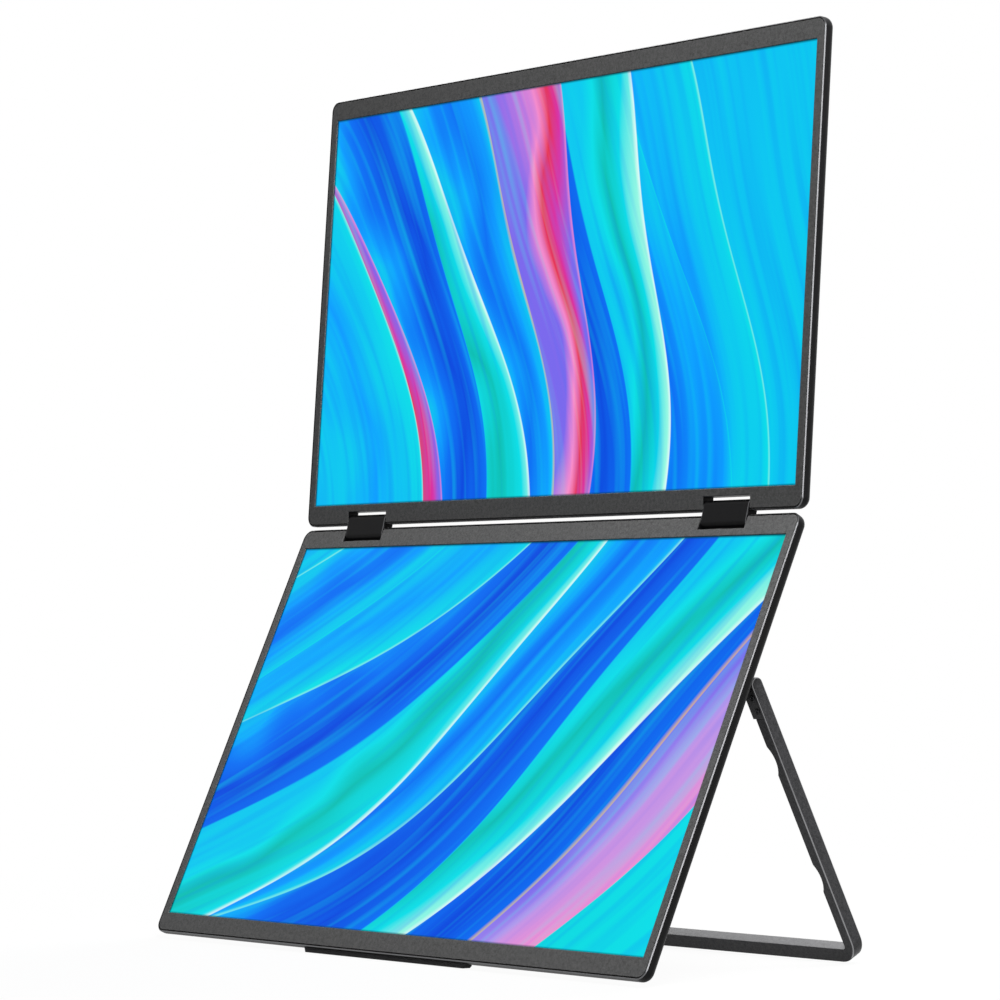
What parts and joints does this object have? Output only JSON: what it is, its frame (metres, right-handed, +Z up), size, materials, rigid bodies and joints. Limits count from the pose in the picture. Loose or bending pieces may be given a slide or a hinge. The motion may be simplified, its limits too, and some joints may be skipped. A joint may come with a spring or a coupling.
{
  "type": "laptop screen extender",
  "caption": "Two equal portable monitors stacked on a twin-axle hinge, the lower one leaning back on a rubber foot and a hoop kickstand, with ports and controls in its rear housing.",
  "frame": {"origin": "on the desk, at the middle of the standing object's bounding box", "axes": "+Z up, pictures face -Y, +X to the right as a person in front of the screens sees them"},
  "size_m": [0.3542, 0.133, 0.4086],
  "materials": {
    "shell_black": "fine matt moulded texture",
    "bezel_grey": "fine textured grey",
    "display_glass": "lit picture behind anti-glare glass",
    "backlight_film": "silver reflector film",
    "hinge_steel": "bright rolled steel",
    "screw_steel": "plain machine screws",
    "black_screws": "black oxide",
    "stand_screw_steel": "dark nickel",
    "hinge_cover_black": "smooth matt black",
    "rubber_black": "soft matt rubber",
    "stand_metal": "bead-blasted, dark grey anodised",
    "stand_leaf_black": "black coated spring steel",
    "button_black": "satin black",
    "circuit_board": "green solder mask",
    "chip_black": "matt epoxy",
    "ribbon_cream": "flat flexible cable",
    "socket_steel": "bright plated",
    "speaker_black": "black moulded box and paper cone",
    "cable_black": "soft sleeved cable"
  },
  "bodies": {
    "lower_screen": {"lower_rear_shell": "shell_black", "lower_front_bezel": "bezel_grey", "lower_display_glass": "display_glass", "lower_backlight": "backlight_film", "lower_hinge_leaf_left": "hinge_steel", "lower_hinge_leaf_right": "hinge_steel", "lower_hinge_shafts": "hinge_steel", "lower_leaf_screws": "screw_steel", "foot_strip": "rubber_black", "rear_housing": "shell_black", "housing_screws": "black_screws", "main_board": "circuit_board", "main_board_chips": "chip_black", "board_screws": "screw_steel", "control_board": "circuit_board", "control_switches": "chip_black", "board_ribbon": "ribbon_cream", "display_ribbon": "ribbon_cream", "usb_c_sockets": "socket_steel", "mini_hdmi_socket": "socket_steel", "socket_tongues": "chip_black", "speaker_boxes": "speaker_black", "speaker_cones": "speaker_black", "stand_bracket_left": "hinge_steel", "stand_bracket_right": "hinge_steel", "stand_bracket_screws": "screw_steel", "lower_link_cable": "cable_black", "rocker_pin": "screw_steel"},
    "hinge_blocks": {"hinge_cover_left": "hinge_cover_black", "hinge_cover_right": "hinge_cover_black", "hinge_friction_plates": "hinge_steel", "hinge_link_cable": "cable_black"},
    "upper_screen": {"upper_rear_shell": "shell_black", "upper_front_bezel": "bezel_grey", "upper_display_glass": "display_glass", "upper_backlight": "backlight_film", "upper_hinge_leaf_left": "hinge_steel", "upper_hinge_leaf_right": "hinge_steel", "upper_hinge_shafts": "hinge_steel", "upper_leaf_screws": "screw_steel", "upper_driver_board": "circuit_board", "upper_driver_chips": "chip_black", "upper_link_cable": "cable_black"},
    "kickstand": {"stand_hoop": "stand_metal", "stand_leaf_left": "stand_leaf_black", "stand_leaf_right": "stand_leaf_black", "stand_leaf_screws": "stand_screw_steel", "stand_pad": "rubber_black"},
    "power_button": {"power_button": "button_black"},
    "mode_button": {"mode_button": "button_black"},
    "menu_rocker": {"menu_rocker": "button_black"}
  },
  "joints": [
    {"name": "lower_axis", "type": "hinge", "parent": "lower_screen", "child": "hinge_blocks", "pos_m": [0, 0.0288, 0.19121], "axis": [1, 0, 0], "range_deg": [-55.38, 79.62]},
    {"name": "upper_axis", "type": "hinge", "parent": "hinge_blocks", "child": "upper_screen", "pos_m": [0, 0.03081, 0.19833], "axis": [1, 0, 0], "range_deg": [-55.38, 79.62]},
    {"name": "stand_pivot", "type": "hinge", "parent": "lower_screen", "child": "kickstand", "pos_m": [0, 0.00425, 0.12183], "axis": [1, 0, 0], "range_deg": [-52.5, 22.5]},
    {"name": "power_press", "type": "slide", "parent": "lower_screen", "child": "power_button", "axis": [1, 0, 0], "range_m": [0, 0.0004], "stiffness_N_per_m": 2500, "springref_m": -0.0001},
    {"name": "mode_press", "type": "slide", "parent": "lower_screen", "child": "mode_button", "axis": [1, 0, 0], "range_m": [0, 0.0004], "stiffness_N_per_m": 2500, "springref_m": -0.0001},
    {"name": "rocker_tilt", "type": "hinge", "parent": "lower_screen", "child": "menu_rocker", "pos_m": [-0.1532, -0.03683, 0.03895], "axis": [0, 0.8979, -0.4403], "range_deg": [-2.5, 2.5], "stiffness_Nm_per_rad": 0.2}
  ]
}
